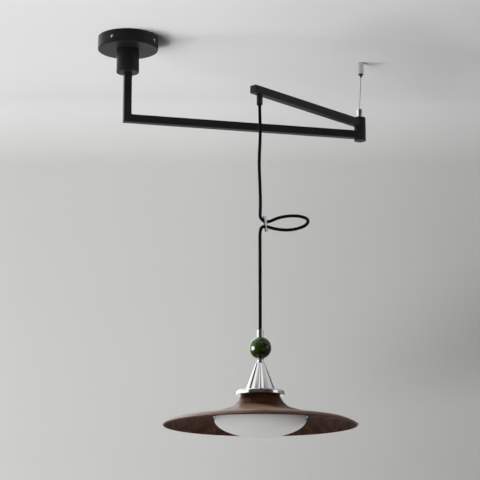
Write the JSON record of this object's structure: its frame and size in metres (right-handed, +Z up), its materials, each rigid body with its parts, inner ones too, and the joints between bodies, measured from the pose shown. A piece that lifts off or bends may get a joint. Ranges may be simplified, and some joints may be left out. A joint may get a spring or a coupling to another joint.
{
  "type": "swing arm pendant light",
  "caption": "Ceiling pendant light on a black folding swing arm, with a wire stay, looped fabric cord, green glass ball, chrome cone and walnut saucer shade over an opal bowl.",
  "frame": {"origin": "centre of the canopy's ceiling face, between the two ceiling screw holes", "axes": "+Z up out of the ceiling face, +X along the main arm at rest, +Y to the left of the main arm"},
  "size_m": [0.5938, 0.4284, 0.8491],
  "materials": {
    "black_paint": "matte",
    "zinc_steel": "satin",
    "bright_screw": "bright",
    "satin_nickel": "satin",
    "chrome": "polished",
    "wire_rope": "satin",
    "black_fabric": "matte",
    "walnut": "satin",
    "green_glass": "glossy",
    "opal_glass": "glossy",
    "aluminium_plate": "satin",
    "white_board": "matte",
    "led_phosphor": "glossy",
    "white_case": "matte",
    "bronze": "satin",
    "nylon": "matte"
  },
  "bodies": {
    "canopy": {"ceiling_plate": "zinc_steel", "canopy_cover": "black_paint", "canopy_side_screws": "bright_screw", "led_driver": "white_case", "terminal_block": "white_case", "swivel_bush": "bronze"},
    "main_arm": {"swivel_stem": "zinc_steel", "swivel_washer": "zinc_steel", "swivel_nut": "zinc_steel", "swivel_cup": "black_paint", "drop_tube": "black_paint", "main_arm_tube": "black_paint", "elbow_lower_knuckle": "black_paint", "elbow_pivot_pin": "black_paint", "elbow_washer": "nylon", "wire_gripper": "chrome", "gripper_collet": "chrome", "support_wire": "wire_rope", "anchor_barrel": "satin_nickel", "anchor_nipple": "black_paint"},
    "swing_arm": {"elbow_upper_knuckle": "black_paint", "elbow_bush": "bronze", "swing_arm_tube": "black_paint", "swing_end_cap": "black_paint", "cord_gland": "black_paint", "gland_nut": "zinc_steel", "gland_set_screw": "bright_screw", "arm_cord_tail": "black_fabric"},
    "pendant": {"pendant_cord": "black_fabric", "cord_adjuster": "satin_nickel", "cord_ferrule": "chrome", "glass_ball": "green_glass", "ball_neck": "chrome", "shade_cone": "chrome", "shade_flange": "chrome", "wood_shade": "walnut", "lamp_rod": "zinc_steel", "rod_washer": "zinc_steel", "rod_nut": "zinc_steel", "lamp_plate": "aluminium_plate", "plate_screws": "zinc_steel", "led_board": "white_board", "led_chips": "led_phosphor", "glass_bowl": "opal_glass", "bowl_clips": "zinc_steel"}
  },
  "joints": [
    {"name": "canopy_swivel", "type": "hinge", "parent": "canopy", "child": "main_arm", "pos_m": [0, 0, -0.0761], "axis": [0, 0, 1], "range_deg": [-170, 170]},
    {"name": "elbow_swing", "type": "hinge", "parent": "main_arm", "child": "swing_arm", "pos_m": [0.508, 0, -0.16265], "axis": [0, 0, 1], "range_deg": [-28, 322]},
    {"name": "pendant_swing", "type": "hinge", "parent": "swing_arm", "child": "pendant", "pos_m": [0.23795, -0.17537, -0.1768], "axis": [0, 1, 0], "range_deg": [-10, 10]}
  ]
}
